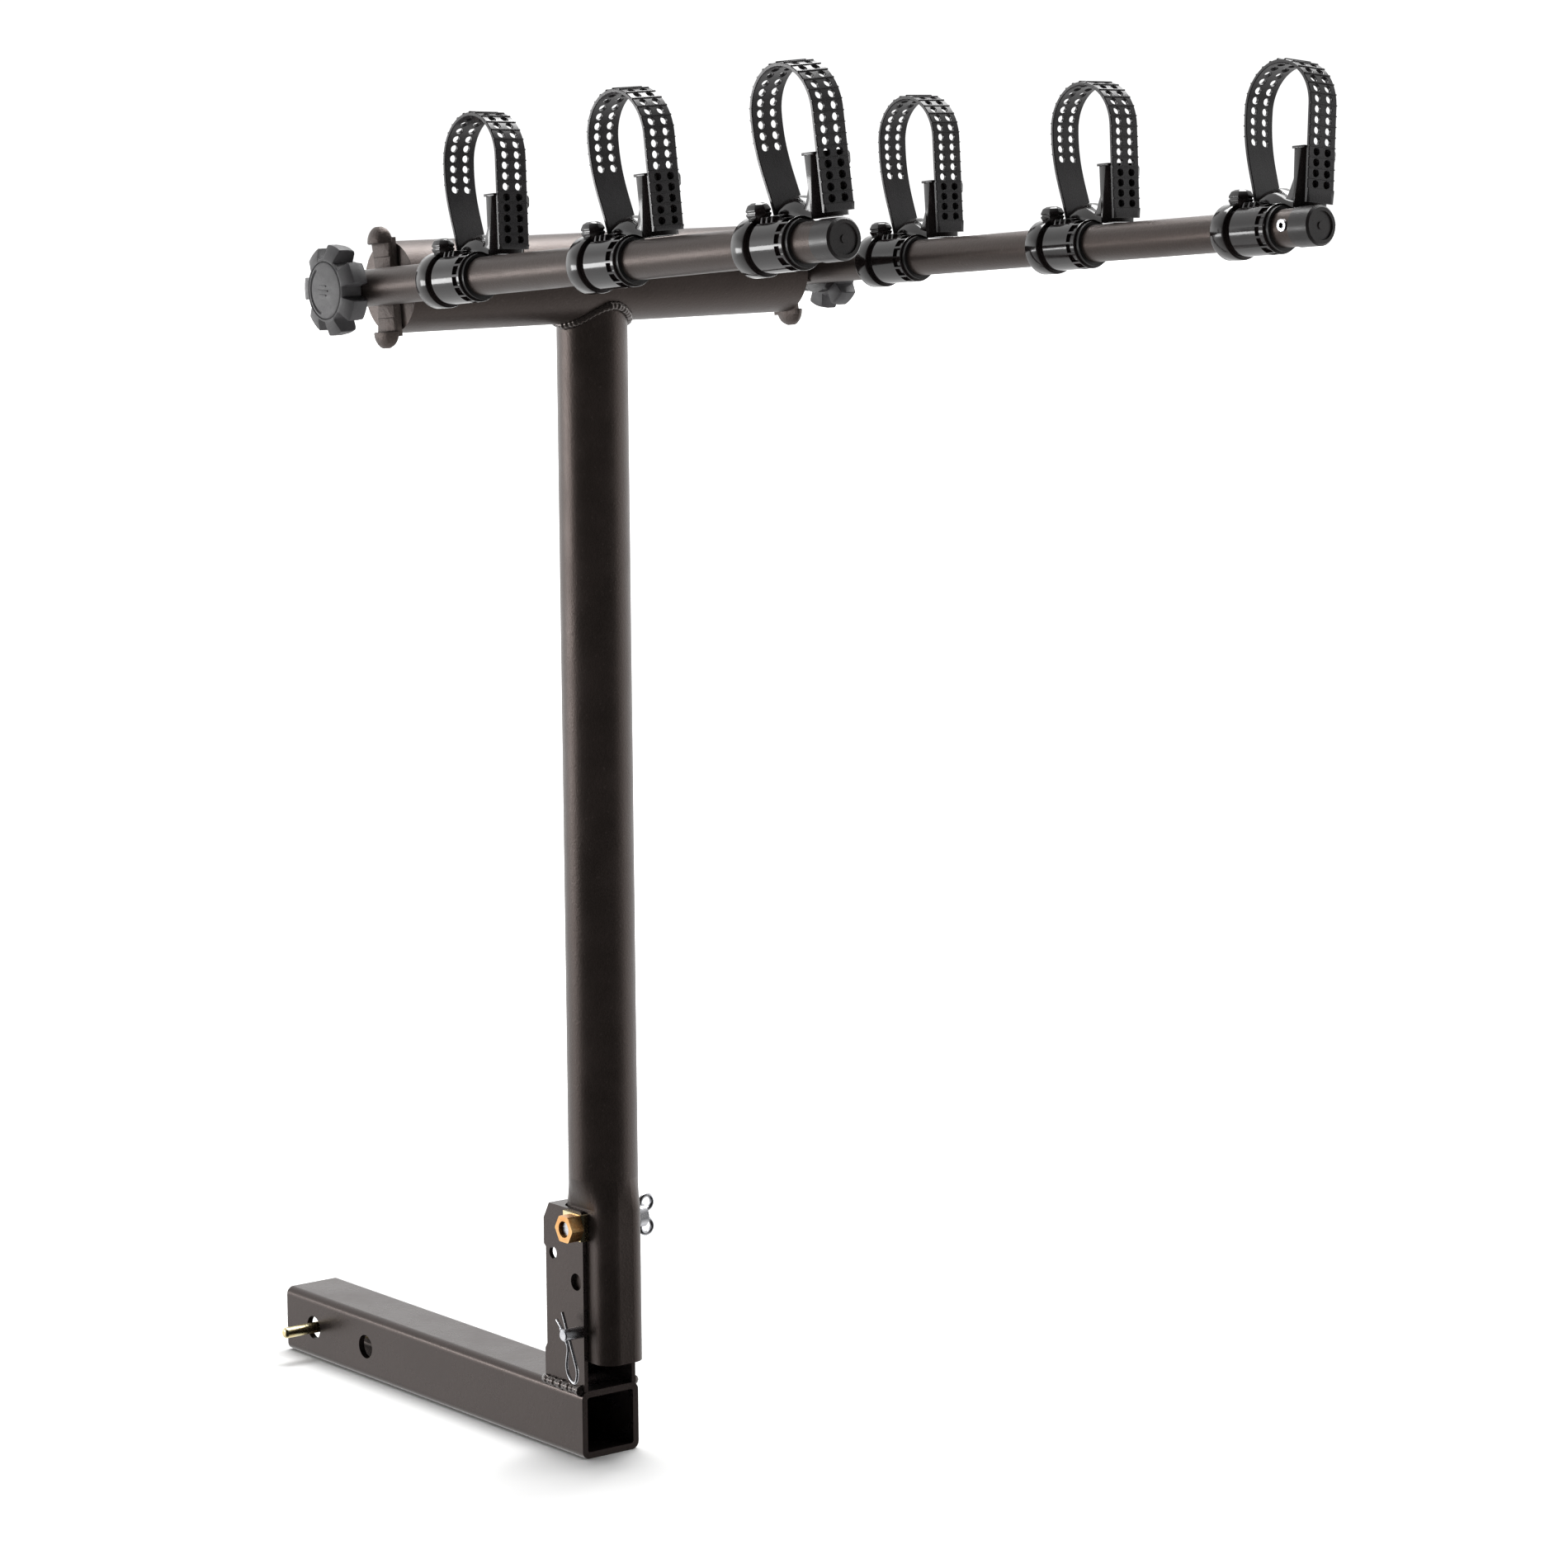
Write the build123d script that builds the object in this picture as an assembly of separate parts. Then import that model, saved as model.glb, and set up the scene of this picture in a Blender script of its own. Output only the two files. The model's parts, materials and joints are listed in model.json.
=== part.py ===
from build123d import *

import os
from math import asin, cos, degrees, radians, sin, sqrt

# Hitch mounted bike rack with a tilting mast and two fold-down arms. Millimetres.
# X runs across the vehicle, +Y points at the vehicle, +Z is up.
# The origin is on the shank's centre line, at the hitch pin hole.

# Shank: a 2 inch square tube for a 2 inch receiver
SHANK = 50.8
SHANK_WALL = 4.8
SHANK_CORNER = 6.0
SHANK_FRONT = 112.0
SHANK_LENGTH = 400.0
SHANK_REAR = SHANK_FRONT - SHANK_LENGTH
PIN_HOLE_R = 9.25
PEG_HOLE_Y = 74.0

# Captive nut that rides inside the shank
NUT_STRAP_X = 5.5
NUT_STRAP_T = 2.5
NUT_STRAP_H = 16.0
NUT_PAD = 28.0
HITCH_NUT_AF = 24.0
HITCH_NUT_H = 12.6
HITCH_THREAD_R = 7.94
PEG_R = 4.3
PEG_TIP_X = -53.0

# Mast, pivot and clamp
MAST_Y = SHANK_REAR + 5.0
TUBE_R = 25.4
TUBE_WALL = 3.0
PRESSED_X = 38.6
PRESSED_Y = 55.0
PRESSED_R = 13.0
MAST_BOTTOM = 47.6
PRESS_END = 162.0
ROUND_START = 184.0
PIVOT_Z = 69.6
CLAMP_Z = 148.6
PIVOT_R = 4.5
CLAMP_R = 6.0
RUNNING = 0.08
SHAFT_GAP = 0.3
FREE_GAP = 0.6
KEEPER_T = 2.6
KEEPER_HALF_H = 10.0
CLAMP_NUT_AF = 19.05
CLAMP_NUT_T = 10.7
WASHER_T = 2.2
WING_HUB_R = 8.5
WING_HUB_L = 9.7
WING_LOOP_R = 5.4
WING_WIRE_R = 1.7
CLIP_X = -33.5
PIN_END_X = -38.5
WIRE_R = 1.1
CLIP_TILT = 24.0

# Bracket: one sheet folded round three sides
PLATE_T = 3.2
PLATE_OUT = 23.0
PLATE_IN = PLATE_OUT - PLATE_T
PLATE_REAR = 5.0
TOP_BACK = 37.0
HEAD_BACK = 44.0
WAIST_BACK = 41.5
BRACKET_TOP = 160.0
WINDOW_LOW = 53.0
WINDOW_HIGH = 126.0
COVER_GAP = 1.6
ACCESS_R = 6.4
SMALL_HOLE_R = 4.65

# Crossbar and arms
BAR_Z = 836.4
BAR_R = 31.75
BAR_WALL = 3.0
BAR_HALF = 171.0
ARM_X = 195.3
ARM_R = 12.7
ARM_WALL = 2.5
ARM_TILT = {"left": 5.55, "right": 4.95}
ARM_ROOT = 17.0
ARM_ENDS = {"left": 536.0, "right": 542.5}
CAP_L = 19.0
CAP_CAVITY_L = 8.0
CAP_R = 13.4
STOP_BACK = 24.0
STOP_UP = 1.8
RIVET_R = 4.0
STUD_R = 5.0

# Saddle casting between the crossbar and each arm
SADDLE_IN = BAR_HALF + 0.6
SADDLE_T = 4.0
SADDLE_W = 25.0
SADDLE_HALF_H = 36.0
LIP_OUT = 8.0
DOME_H = 6.0

# Knob
WASHER_R = 19.0
WASHER_END = 212.0
KNOB_IN = WASHER_END + 0.2
KNOB_DEPTH = 16.5
KNOB_CORE_R = 21.0
KNOB_TIP_R = 28.8
KNOB_LOBES = 7
FACE_R = 18.0
FACE_SEAT = KNOB_DEPTH - 2.2
STUD_DEPTH = 11.0

# Cradles: distance along each arm from the fold axis to the collar, how far each has been
# turned round its arm, and how much of each strap has been let out of its buckle
CRADLE_STARTS = {"left": (95.0, 269.5, 445.0), "right": (78.5, 266.5, 454.5)}
CRADLE_TURNS = {"left": (-2.5, 1.8, 3.3), "right": (-1.0, -2.0, -7.0)}
STRAP_SLACK = {"left": (0.0, 0.0, 0.8), "right": (6.0, 1.6, 2.9)}
COLLAR_R = 18.9
COLLAR_L = 13.5
GROOVE_L = 2.5
GROOVE_R = 15.6
BARREL_R = 16.8
BARREL_L = 50.0
BARREL_WINDOWS = 14
WINDOW_L = 7.4
SLEEVE_R = 14.2
LIP_R = 15.2
CRADLE_L = 53.0
BED_NEAR = 3.6
BED_FAR = 28.4
TOWER_FRONT = 56.0
TOWER_REAR = 66.0
TOWER_TOP = 54.2
STRAP_T = 2.6
STRAP_W = 23.8
STRAP_HALF_SPAN = 30.4
STRAP_TOP = 108.5


def rod_x(radius, x0, x1, y, z):
    """A round bar along X."""
    return Pos((x0 + x1) / 2, y, z) * Rot(0, 90, 0) * Cylinder(radius, abs(x1 - x0))


def block(x0, x1, y0, y1, z0, z1):
    """A box given by its two corners."""
    return Pos((x0 + x1) / 2, (y0 + y1) / 2, (z0 + z1) / 2) * Box(x1 - x0, y1 - y0, z1 - z0)


def side_outline(points):
    """A closed face in the YZ plane; Y is measured from the mast's axis."""
    return make_face(Polyline([(0, MAST_Y + y, z) for y, z in points], close=True))


def prism_z(width, depth, corner, z0, z1):
    """An upright rounded-rectangle bar on the mast's axis."""
    return Pos(0, MAST_Y, z0) * extrude(RectangleRounded(width, depth, corner), amount=z1 - z0)


def hexagon(across_flats):
    return RegularPolygon(across_flats / sqrt(3), 6)


def arm_frame(side):
    """Local x is +X, y is up across the arm, z runs out along the arm."""
    sign = -1 if side == "left" else 1
    tilt = radians(ARM_TILT[side])
    plane = Plane(origin=(sign * ARM_X, MAST_Y, BAR_Z), x_dir=(1, 0, 0), z_dir=(0, -cos(tilt), sin(tilt)))
    return plane.location


def along(radius, start, end):
    """A round bar along a local frame's z."""
    return Pos(0, 0, (start + end) / 2) * Cylinder(radius, end - start)


# ---- shank -------------------------------------------------------------------------------

def square_bar(size, corner):
    face = Plane.XZ * RectangleRounded(size, size, corner)
    return Pos(0, SHANK_FRONT, 0) * extrude(face, amount=SHANK_LENGTH)


def shank_tube():
    inner = SHANK - 2 * SHANK_WALL
    tube = square_bar(SHANK, SHANK_CORNER) - square_bar(inner, SHANK_CORNER - SHANK_WALL + 0.8)
    for y in (0, PEG_HOLE_Y):
        tube -= rod_x(PIN_HOLE_R, -SHANK, SHANK, y, 0)
    return tube


def hitch_nut_strap():
    strap = block(NUT_STRAP_X, NUT_STRAP_X + NUT_STRAP_T, -15, PEG_HOLE_Y + 9,
                  -NUT_STRAP_H / 2, NUT_STRAP_H / 2)
    pad = NUT_PAD / 2
    strap += block(NUT_STRAP_X, NUT_STRAP_X + NUT_STRAP_T, -pad, pad, -pad, pad)
    strap -= rod_x(HITCH_THREAD_R + 0.5, -SHANK, SHANK, 0, 0)
    return strap - rod_x(PEG_R - 1, -SHANK, SHANK, PEG_HOLE_Y, 0)


def hitch_nut():
    start = NUT_STRAP_X + NUT_STRAP_T
    nut = Pos(start, 0, 0) * extrude(Plane.YZ * hexagon(HITCH_NUT_AF), amount=HITCH_NUT_H)
    return nut - rod_x(HITCH_THREAD_R, -SHANK, SHANK, 0, 0)


def hitch_nut_peg():
    peg = rod_x(PEG_R, PEG_TIP_X, NUT_STRAP_X, PEG_HOLE_Y, 0)
    tip = peg.edges().filter_by(GeomType.CIRCLE).sort_by(Axis.X)[0]
    peg = fillet(tip, PEG_R * 0.6)
    return peg + rod_x(PEG_R - 1, NUT_STRAP_X, NUT_STRAP_X + NUT_STRAP_T, PEG_HOLE_Y, 0)


# ---- bracket -----------------------------------------------------------------------------

def bracket_channel():
    outline = side_outline([
        (-PLATE_REAR, SHANK / 2), (-PLATE_REAR, BRACKET_TOP), (TOP_BACK, BRACKET_TOP),
        (HEAD_BACK, BRACKET_TOP - 12.5),
        (HEAD_BACK, WINDOW_HIGH + 2), (WAIST_BACK, WINDOW_HIGH), (WAIST_BACK, WINDOW_LOW),
        (HEAD_BACK, WINDOW_LOW - 4), (HEAD_BACK, SHANK / 2)])
    body = extrude(outline, amount=PLATE_OUT, both=True)
    corner = body.edges().filter_by(Axis.X).sort_by(Axis.Z)[-2:].sort_by(Axis.Y)[0]
    body = fillet(corner, 4)
    hollow = side_outline([
        (-9, 0), (-9, BRACKET_TOP + 9), (9, BRACKET_TOP + 9), (9, BRACKET_TOP - PLATE_T),
        (TOP_BACK - 2, BRACKET_TOP - PLATE_T), (HEAD_BACK - PLATE_T, BRACKET_TOP - 14),
        (HEAD_BACK - PLATE_T, WINDOW_HIGH + 2), (WAIST_BACK - PLATE_T, WINDOW_HIGH),
        (WAIST_BACK - PLATE_T, WINDOW_LOW), (HEAD_BACK - PLATE_T, WINDOW_LOW - 4),
        (HEAD_BACK - PLATE_T, 0)])
    body -= extrude(hollow, amount=PLATE_IN, both=True)
    body -= block(-PLATE_IN, PLATE_IN, MAST_Y + 20, MAST_Y + 60, WINDOW_LOW, WINDOW_HIGH)
    notch = prism_z(PRESSED_X + 2 * COVER_GAP, PRESSED_Y + 2 * COVER_GAP, PRESSED_R + COVER_GAP,
                    BRACKET_TOP - 9, BRACKET_TOP + 9)
    body -= notch & block(-PLATE_IN, PLATE_IN, MAST_Y - 99, MAST_Y + 99, 0, BRACKET_TOP + 9)
    body -= rod_x(PIVOT_R + RUNNING, -SHANK, SHANK, MAST_Y, PIVOT_Z)
    body -= rod_x(CLAMP_R + RUNNING, -SHANK, SHANK, MAST_Y, CLAMP_Z)
    body -= rod_x(ACCESS_R, -SHANK, SHANK, MAST_Y + 4, PIVOT_Z + 36.8)
    return body - rod_x(SMALL_HOLE_R, -SHANK, SHANK, MAST_Y + 32.5, PIVOT_Z + 53.4)


def bracket_weld_bead():
    """Fillets along both plates and behind the foot, lying on the shank."""
    z = SHANK / 2 + 0.6
    y0 = MAST_Y - PLATE_REAR + 1
    y1 = MAST_Y + HEAD_BACK + 3
    bead = Pos(0, y1, z) * Rot(0, 90, 0) * Cylinder(3.6, 2 * PLATE_OUT)
    for side in (-1, 1):
        run = Pos(side * (PLATE_OUT + 1), (y0 + y1) / 2, z) * Rot(90, 0, 0) * Cylinder(3.4, y1 - y0)
        bead += run + Pos(side * (PLATE_OUT + 1), y1, z) * Sphere(3.4)
    bead -= square_bar(SHANK, SHANK_CORNER)
    return bead - block(-PLATE_OUT, PLATE_OUT, MAST_Y - 9, MAST_Y + HEAD_BACK, 0, 60)


def nut_keeper_clip():
    """A flat clip on the left plate with a lip hooked over the plate's rear edge."""
    low = CLAMP_Z - KEEPER_HALF_H
    high = CLAMP_Z + KEEPER_HALF_H
    edge = MAST_Y - PLATE_REAR - 0.2
    clip = block(-PLATE_OUT - KEEPER_T, -PLATE_OUT, edge - KEEPER_T, MAST_Y + 15.5, low, high)
    clip += block(-PLATE_OUT, -PLATE_IN, edge - KEEPER_T, edge, low, high)
    outer = clip.edges().filter_by(Axis.Z).group_by(Axis.Y)[0].sort_by(Axis.X)[0]
    clip = fillet(outer, KEEPER_T * 0.95)
    return clip - rod_x(CLAMP_R + RUNNING, -SHANK, SHANK, MAST_Y, CLAMP_Z)


def clamp_nut():
    """A hexagon nut with its corners turned off."""
    start = -PLATE_OUT - KEEPER_T - CLAMP_NUT_T
    nut = Pos(start, MAST_Y, CLAMP_Z) * extrude(Plane.YZ * hexagon(CLAMP_NUT_AF), amount=CLAMP_NUT_T)
    nut -= rod_x(CLAMP_R + RUNNING, -SHANK, SHANK, MAST_Y, CLAMP_Z)
    return nut & rod_x(CLAMP_NUT_AF / 2 + 1.1, -SHANK, SHANK, MAST_Y, CLAMP_Z)


# ---- clamp screw, pivot pin and clip -------------------------------------------------------

def clamp_screw_washer():
    washer = rod_x(CLAMP_R * 2, PLATE_OUT, PLATE_OUT + WASHER_T, MAST_Y, CLAMP_Z)
    return washer - rod_x(CLAMP_R + SHAFT_GAP, 0, SHANK, MAST_Y, CLAMP_Z)


def clamp_screw_shaft():
    hub_out = PLATE_OUT + WASHER_T + WING_HUB_L
    shaft = rod_x(CLAMP_R, -PLATE_OUT - CLAMP_NUT_T, hub_out, MAST_Y, CLAMP_Z)
    end = shaft.edges().filter_by(GeomType.CIRCLE).sort_by(Axis.X)[0]
    return chamfer(end, 1.0)


def clamp_screw_wings():
    """A hub with two closed loops of wire for the thumb and finger."""
    hub_in = PLATE_OUT + WASHER_T + 0.1
    hub_out = PLATE_OUT + WASHER_T + WING_HUB_L
    wings = rod_x(WING_HUB_R, hub_in, hub_out, MAST_Y, CLAMP_Z)
    loop = Rot(90, 0, 0) * Torus(WING_LOOP_R, WING_WIRE_R)
    for side in (-1, 1):
        wings += Pos(hub_out + 3.2, MAST_Y, CLAMP_Z + side * 9.0) * loop
    return wings - rod_x(CLAMP_R, 0, hub_out, MAST_Y, CLAMP_Z)


def pivot_pin():
    pin = rod_x(PIVOT_R, PIN_END_X, PLATE_OUT + 0.3, MAST_Y, PIVOT_Z)
    end = pin.edges().filter_by(GeomType.CIRCLE).sort_by(Axis.X)[0]
    pin = chamfer(end, 0.8)
    head = rod_x(7.5, PLATE_OUT + 0.2, PLATE_OUT + 3.4, MAST_Y, PIVOT_Z)
    head = fillet(head.edges().filter_by(GeomType.CIRCLE).sort_by(Axis.X)[-1], 1.2)
    pin += head
    hole = Cylinder(WIRE_R + SHAFT_GAP, 30)
    return pin - Pos(CLIP_X, MAST_Y, PIVOT_Z) * Rot(-CLIP_TILT, 0, 0) * hole


def r_clip():
    """Wire clip: a straight leg through the pin, a loop, and a leg that humps over the pin."""
    straight = Line((0, 17), (0, -22))
    hump = PIVOT_R + WIRE_R + 0.35
    loop = Spline((0, -22), (1.6, -30), (7.2, -35), (12.2, -29), (9.5, -17), (hump - 1.6, -8.5),
                  (hump, 0), (hump + 1.2, 6), (hump + 3.6, 13.5), tangents=((0, -1), (0.5, 1)))
    path = Wire([straight, loop])
    section = Plane(origin=(0, 17, 0), z_dir=(0, -1, 0)) * Circle(WIRE_R)
    wire = sweep(section, path=path)
    upright = Plane(origin=(CLIP_X, MAST_Y, PIVOT_Z), x_dir=(0, 1, 0), z_dir=(1, 0, 0)).location
    return upright * Rot(0, 0, -CLIP_TILT) * wire


# ---- mast and crossbar -------------------------------------------------------------------

def mast_body(inset):
    """The mast's outer shape, or its bore when inset is the wall."""
    wide = PRESSED_X - 2 * inset
    deep = PRESSED_Y - 2 * inset
    corner = PRESSED_R - inset
    low = prism_z(wide, deep, corner, MAST_BOTTOM - 4 * (inset > 0), PRESS_END)
    start = Plane(origin=(0, MAST_Y, PRESS_END)) * RectangleRounded(wide, deep, corner)
    end = Plane(origin=(0, MAST_Y, ROUND_START)) * Circle(TUBE_R - inset)
    neck = loft([start, end])
    top = Pos(0, MAST_Y, (ROUND_START + BAR_Z) / 2) * Cylinder(TUBE_R - inset, BAR_Z - ROUND_START)
    return low + neck + top


def clamp_slot():
    """The slot that lets the mast swing off the clamp screw: an arc about the pivot."""
    reach = CLAMP_Z - PIVOT_Z
    out = degrees(asin(min(1.0, (PRESSED_Y / 2 + 4) / reach)))
    arc = CenterArc((MAST_Y, PIVOT_Z), reach, 90 - out, out)
    face = Plane.YZ * SlotArc(arc, 2 * (CLAMP_R + FREE_GAP))
    return extrude(face, amount=PRESSED_X, both=True)


def mast_tube():
    tube = mast_body(0) - mast_body(TUBE_WALL)
    tube -= rod_x(BAR_R, -60, 60, MAST_Y, BAR_Z)
    tube -= rod_x(PIVOT_R + RUNNING, -60, 60, MAST_Y, PIVOT_Z)
    return tube - clamp_slot()


def crossbar_tube():
    tube = rod_x(BAR_R, -BAR_HALF, BAR_HALF, MAST_Y, BAR_Z)
    return tube - rod_x(BAR_R - BAR_WALL, -BAR_HALF - 1, BAR_HALF + 1, MAST_Y, BAR_Z)


def mast_weld_bead():
    bead = Pos(0, MAST_Y, BAR_Z - 40) * Cylinder(TUBE_R + 4, 80)
    bead &= rod_x(BAR_R + 4, -60, 60, MAST_Y, BAR_Z)
    bead -= rod_x(BAR_R, -60, 60, MAST_Y, BAR_Z)
    return bead - Pos(0, MAST_Y, BAR_Z - 40) * Cylinder(TUBE_R, 90)


def side_sign(side):
    return -1 if side == "left" else 1


def crossbar_end_hub(side):
    """The steel disc in each end of the crossbar that the knob's stud screws into."""
    s = side_sign(side)
    hub = rod_x(BAR_R - BAR_WALL, s * (BAR_HALF - 14), s * BAR_HALF, MAST_Y, BAR_Z)
    return hub - rod_x(STUD_R + RUNNING, s * 100, s * 200, MAST_Y, BAR_Z)


# ---- arms --------------------------------------------------------------------------------

def arm_tube(side):
    s = side_sign(side)
    end = ARM_ENDS[side] - CAP_CAVITY_L
    tube = along(ARM_R, -ARM_ROOT, end) - along(ARM_R - ARM_WALL, -ARM_ROOT - 1, end + 1)
    tube -= rod_x(STUD_R + SHAFT_GAP, -20, 20, 0, 0)
    tube -= Pos(-s * ARM_R, STOP_UP, ARM_ENDS[side] - STOP_BACK) * Rot(0, 90, 0) * Cylinder(RIVET_R, ARM_R)
    return arm_frame(side) * tube


def arm_root_plug(side):
    plug = along(ARM_R, -ARM_ROOT - 2.5, -ARM_ROOT) + along(ARM_R - ARM_WALL, -ARM_ROOT, -ARM_ROOT + 7)
    return arm_frame(side) * plug


def arm_end_cap(side):
    """A cap over the tube's end, with a shallow round recess in its face."""
    end = ARM_ENDS[side]
    start = end - CAP_L
    tube_end = end - CAP_CAVITY_L
    profile = make_face(Polyline([
        (0, end - 1.2), (9.6, end - 1.2), (9.6, end), (CAP_R - 1.4, end), (CAP_R, end - 1.6),
        (CAP_R, start), (ARM_R, start), (ARM_R, tube_end), (0, tube_end)], close=True))
    cap = revolve(Plane.XZ * profile, Axis.Z)
    return arm_frame(side) * (cap + along(2.6, end - 1.2, end - 0.4))


def arm_stop_rivet(side):
    """A tubular rivet on the arm's inner side that stops the last cradle."""
    s = side_sign(side)
    rivet = rod_x(RIVET_R, -s * (ARM_R - ARM_WALL - 1), -s * (ARM_R + 1.3), STOP_UP, 0)
    rivet -= rod_x(1.9, -s * 5, -s * 20, STOP_UP, 0)
    return arm_frame(side) * Pos(0, 0, ARM_ENDS[side] - STOP_BACK) * rivet


def saddle_casting(side):
    """A plate across the crossbar's end, with domed lips, and a block that cups the arm."""
    s = side_sign(side)
    inner = SADDLE_IN - ARM_X
    outer = inner + SADDLE_T
    w = SADDLE_W / 2
    plate = block(inner, outer, -SADDLE_HALF_H, SADDLE_HALF_H, -w, w)
    for end in (-1, 1):
        lip = block(inner, inner + LIP_OUT, SADDLE_HALF_H - 5, SADDLE_HALF_H, -w, w)
        dome = Pos(inner + LIP_OUT / 2, SADDLE_HALF_H, 0) * Rot(90, 0, 0) * Sphere(w)
        dome &= block(inner, inner + LIP_OUT, SADDLE_HALF_H, SADDLE_HALF_H + DOME_H, -w, w)
        tip = lip + dome
        plate += tip if end == 1 else mirror(tip, Plane.XZ)
    plate += block(outer, -ARM_R + 6, -11, 11, -w, w) - along(ARM_R, -30, 30)
    plate -= rod_x(STUD_R + SHAFT_GAP, -60, 20, 0, 0)
    return arm_frame(side) * (plate if s == 1 else mirror(plate, Plane.YZ))


# ---- knobs -------------------------------------------------------------------------------

def outward(side, shape):
    """Places a shape drawn on the right, with z outward from the arm's axis."""
    turn = Rot(0, 90, 0) if side == "right" else Rot(0, -90, 0)
    return Pos(0, MAST_Y, BAR_Z) * turn * shape


def knob_washer(side):
    washer = Pos(0, 0, (WASHER_END + ARM_X + 6) / 2) * Cylinder(WASHER_R, WASHER_END - ARM_X - 6)
    washer -= along(STUD_R + SHAFT_GAP, 100, 300)
    washer = outward(side, washer)
    return washer - arm_frame(side) * along(ARM_R + SHAFT_GAP, -40, 40)


def knob_grip(side):
    core = extrude(Circle(KNOB_CORE_R), amount=KNOB_DEPTH, taper=4)
    for angle in range(KNOB_LOBES):
        lobe = Pos((KNOB_CORE_R + KNOB_TIP_R) / 2 - 4, 0, 0) * Rectangle(KNOB_TIP_R - KNOB_CORE_R + 8, 12)
        core += Rot(0, 0, angle * 360 / KNOB_LOBES) * extrude(lobe, amount=KNOB_DEPTH - 3, taper=10)
    core -= along(FACE_R + 0.2, FACE_SEAT, KNOB_DEPTH + 1)
    core -= along(STUD_R, -1, STUD_DEPTH)
    return outward(side, Pos(0, 0, KNOB_IN) * core)


def knob_face(side):
    disc = along(FACE_R, FACE_SEAT, KNOB_DEPTH + 0.8)
    disc = fillet(disc.edges().filter_by(GeomType.CIRCLE).sort_by(Axis.Z)[-1], 1.2)
    return outward(side, Pos(0, 0, KNOB_IN) * disc)


def knob_stud(side):
    stud = along(STUD_R, BAR_HALF - 12, KNOB_IN + STUD_DEPTH)
    return outward(side, stud)


# ---- cradles -----------------------------------------------------------------------------

def cradle_frame(side, start, turn):
    return arm_frame(side) * Pos(0, 0, start) * Rot(0, 0, turn)


def bed_face(points, near):
    """A closed face of (along, up) points at x = near."""
    plane = Plane(origin=(near, 0, 0), x_dir=(0, 0, 1), z_dir=(-1, 0, 0))
    return plane * make_face(points)


def cradle_sleeve():
    sleeve = along(SLEEVE_R, 0.5, BARREL_L + 0.3) + along(LIP_R, BARREL_L + 0.3, CRADLE_L)
    return sleeve - along(ARM_R, -1, CRADLE_L + 1)


def cradle_barrel():
    barrel = along(COLLAR_R, 0, COLLAR_L) + along(GROOVE_R, COLLAR_L, COLLAR_L + GROOVE_L)
    barrel += along(BARREL_R, COLLAR_L + GROOVE_L, BARREL_L)
    window = Pos(0, BARREL_R, BARREL_L - 0.9 - WINDOW_L / 2) * Box(6.0, 3.0, WINDOW_L)
    for number in range(BARREL_WINDOWS):
        barrel -= Rot(0, 0, (number + 0.5) * 360 / BARREL_WINDOWS) * window
    return barrel


def cradle_bed():
    """The saddle on top: a hump, a dip for the bike's tube and the buckle tower."""
    hump = Spline((12, 8), (22, 22), (37, 28.5), (48, 23), (TOWER_FRONT, 27))
    rest = Polyline((TOWER_FRONT, 27), (TOWER_FRONT, TOWER_TOP), (TOWER_REAR, TOWER_TOP),
                    (TOWER_REAR, 17), (TOWER_REAR - 9, 8), (12, 8))
    face = bed_face(Curve() + [hump, rest], BED_FAR)
    bed = extrude(face, amount=BED_FAR - BED_NEAR)
    lug = block(BED_FAR - 1, BED_FAR + 3.5, TOWER_TOP - 11, TOWER_TOP - 2, TOWER_FRONT + 1, TOWER_REAR - 1)
    return bed + lug


def cradle_body():
    body = cradle_barrel() + cradle_bed()
    body -= along(SLEEVE_R + RUNNING, -1, BARREL_L + 20)
    body -= along(LIP_R + 0.4, BARREL_L - 0.4, BARREL_L + 30)
    body -= block(-9.5, 3.2, 15.2, 30, 1.4, 24.6)
    body -= block(BED_NEAR + 0.4, BED_FAR - 0.4, 13, 50, 17.4, 22.0)
    return body


def strap_line(offset, slack):
    """The strap's side profile, offset from its centre line: root, loop and tail."""
    r = STRAP_HALF_SPAN + offset
    middle = TOWER_REAR + STRAP_T / 2 + 0.1 - STRAP_HALF_SPAN
    top = STRAP_TOP + slack - STRAP_HALF_SPAN
    root = Spline((19.7 - offset, 14), (17.5 - offset, 28), (middle - r, 62), (middle - r, top),
                  tangents=((0, 1), (0, 1)))
    over = CenterArc((middle, top), r, 0, 180)
    tail = Line((middle + r, top), (middle + r, 17))
    return root, over, tail


def cradle_strap(slack):
    root_out, over_out, tail_out = strap_line(STRAP_T / 2, slack)
    root_in, over_in, tail_in = strap_line(-STRAP_T / 2, slack)
    ends = [Line(root_out @ 0, root_in @ 0), Line(tail_out @ 1, tail_in @ 1)]
    outline = Curve() + [root_out, over_out, tail_out, root_in, over_in, tail_in] + ends
    middle = (BED_NEAR + BED_FAR) / 2
    return extrude(bed_face(outline, middle + STRAP_W / 2), amount=STRAP_W)


def strap_anchor():
    """The faceted button that holds the strap's root."""
    button = Pos(-3.15, 21.8, 13) * Box(12.0, 12.0, 22.0)
    return chamfer(button.edges().filter_by(Axis.Y), 4.5)


# ---- all nodes ---------------------------------------------------------------------------

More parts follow.
